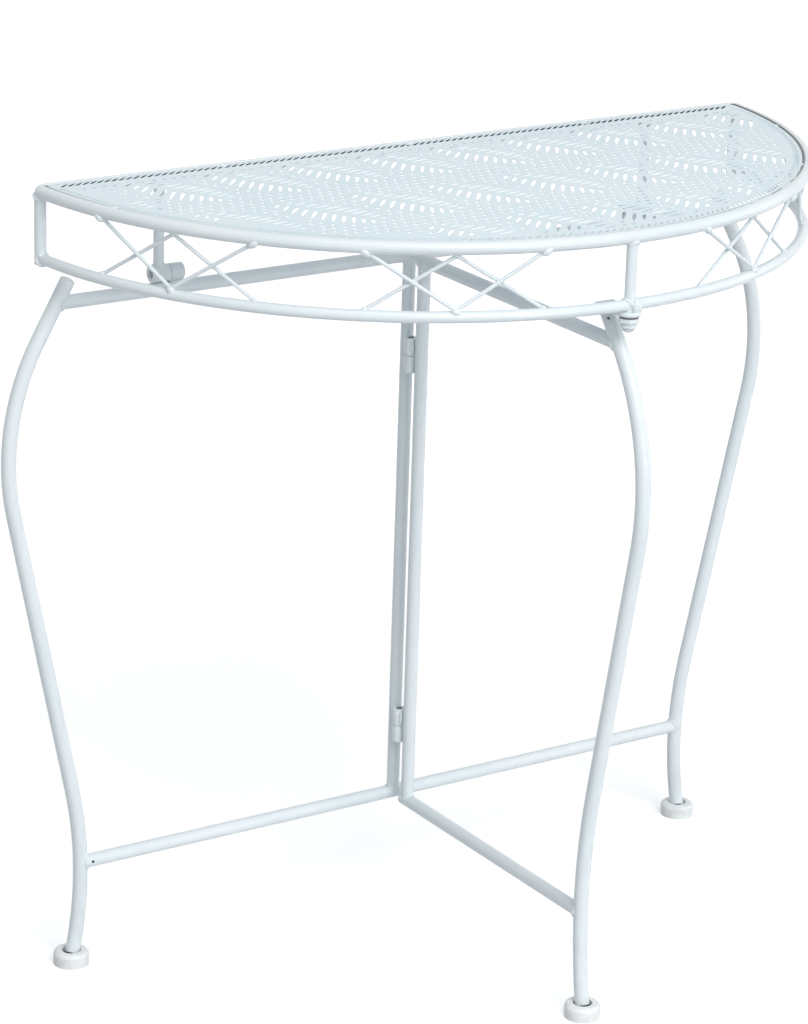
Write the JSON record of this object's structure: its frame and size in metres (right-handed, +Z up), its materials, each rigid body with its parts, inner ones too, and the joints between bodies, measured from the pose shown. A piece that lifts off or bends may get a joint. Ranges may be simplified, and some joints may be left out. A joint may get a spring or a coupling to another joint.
{
  "type": "folding wall console table",
  "caption": "Half-round folding console table of white painted steel tube, with a punched leaf sheet top, wire lattice apron, curved legs and a swinging gate leg.",
  "frame": {"origin": "on the floor, at the middle of the table's outline in plan", "axes": "+X to the right along the wall, +Y towards the wall, +Z up"},
  "size_m": [0.8572, 0.4037, 0.756],
  "materials": {
    "tube_paint": "satin white powder coat",
    "wire_paint": "satin white powder coat",
    "sheet_paint": "satin white powder coat",
    "hardware_paint": "white paint over a stud, washer, cap nut and hinge pins",
    "foot_plastic": "white moulded plastic, slightly glossy",
    "plug_plastic": "white moulded plastic"
  },
  "bodies": {
    "back_frame": {"rear_left_leg": "tube_paint", "rear_right_leg": "tube_paint", "rear_top_rail": "tube_paint", "rear_bottom_rail": "tube_paint", "rear_post": "tube_paint", "rear_left_foot": "foot_plastic", "rear_right_foot": "foot_plastic", "rear_leg_plugs": "plug_plastic", "gate_hinge_lower_knuckles": "tube_paint", "gate_hinge_pins": "hardware_paint", "top_hinge_fixed_knuckles": "tube_paint", "top_hinge_pins": "hardware_paint"},
    "gate_leg": {"front_leg": "tube_paint", "gate_post": "tube_paint", "gate_top_rail": "tube_paint", "gate_bottom_rail": "tube_paint", "front_foot": "foot_plastic", "front_leg_plug": "plug_plastic", "gate_hinge_upper_knuckles": "tube_paint"},
    "table_top": {"upper_rim": "tube_paint", "lower_rim": "tube_paint", "left_corner_post": "tube_paint", "right_corner_post": "tube_paint", "front_post": "tube_paint", "left_hinge_post": "tube_paint", "right_hinge_post": "tube_paint", "top_hinge_moving_knuckles": "tube_paint", "top_sheet": "sheet_paint", "sheet_tacks": "tube_paint", "front_rest_tab": "tube_paint", "rest_stud": "hardware_paint", "rest_washer": "hardware_paint", "rest_nut": "hardware_paint", "lattice_outer_left_rear": "wire_paint", "lattice_inner_left_rear": "wire_paint", "lattice_outer_left_front": "wire_paint", "lattice_inner_left_front": "wire_paint", "lattice_outer_right_front": "wire_paint", "lattice_inner_right_front": "wire_paint", "lattice_outer_right_rear": "wire_paint", "lattice_inner_right_rear": "wire_paint"}
  },
  "joints": [
    {"name": "gate_swing", "type": "hinge", "parent": "back_frame", "child": "gate_leg", "pos_m": [-0.004, 0.17179, 0.3665], "axis": [0, 0, -1], "range_deg": [0, 90]},
    {"name": "top_lift", "type": "hinge", "parent": "back_frame", "child": "table_top", "pos_m": [0, 0.18479, 0.6639], "axis": [-1, 0, 0], "range_deg": [0, 90]}
  ]
}
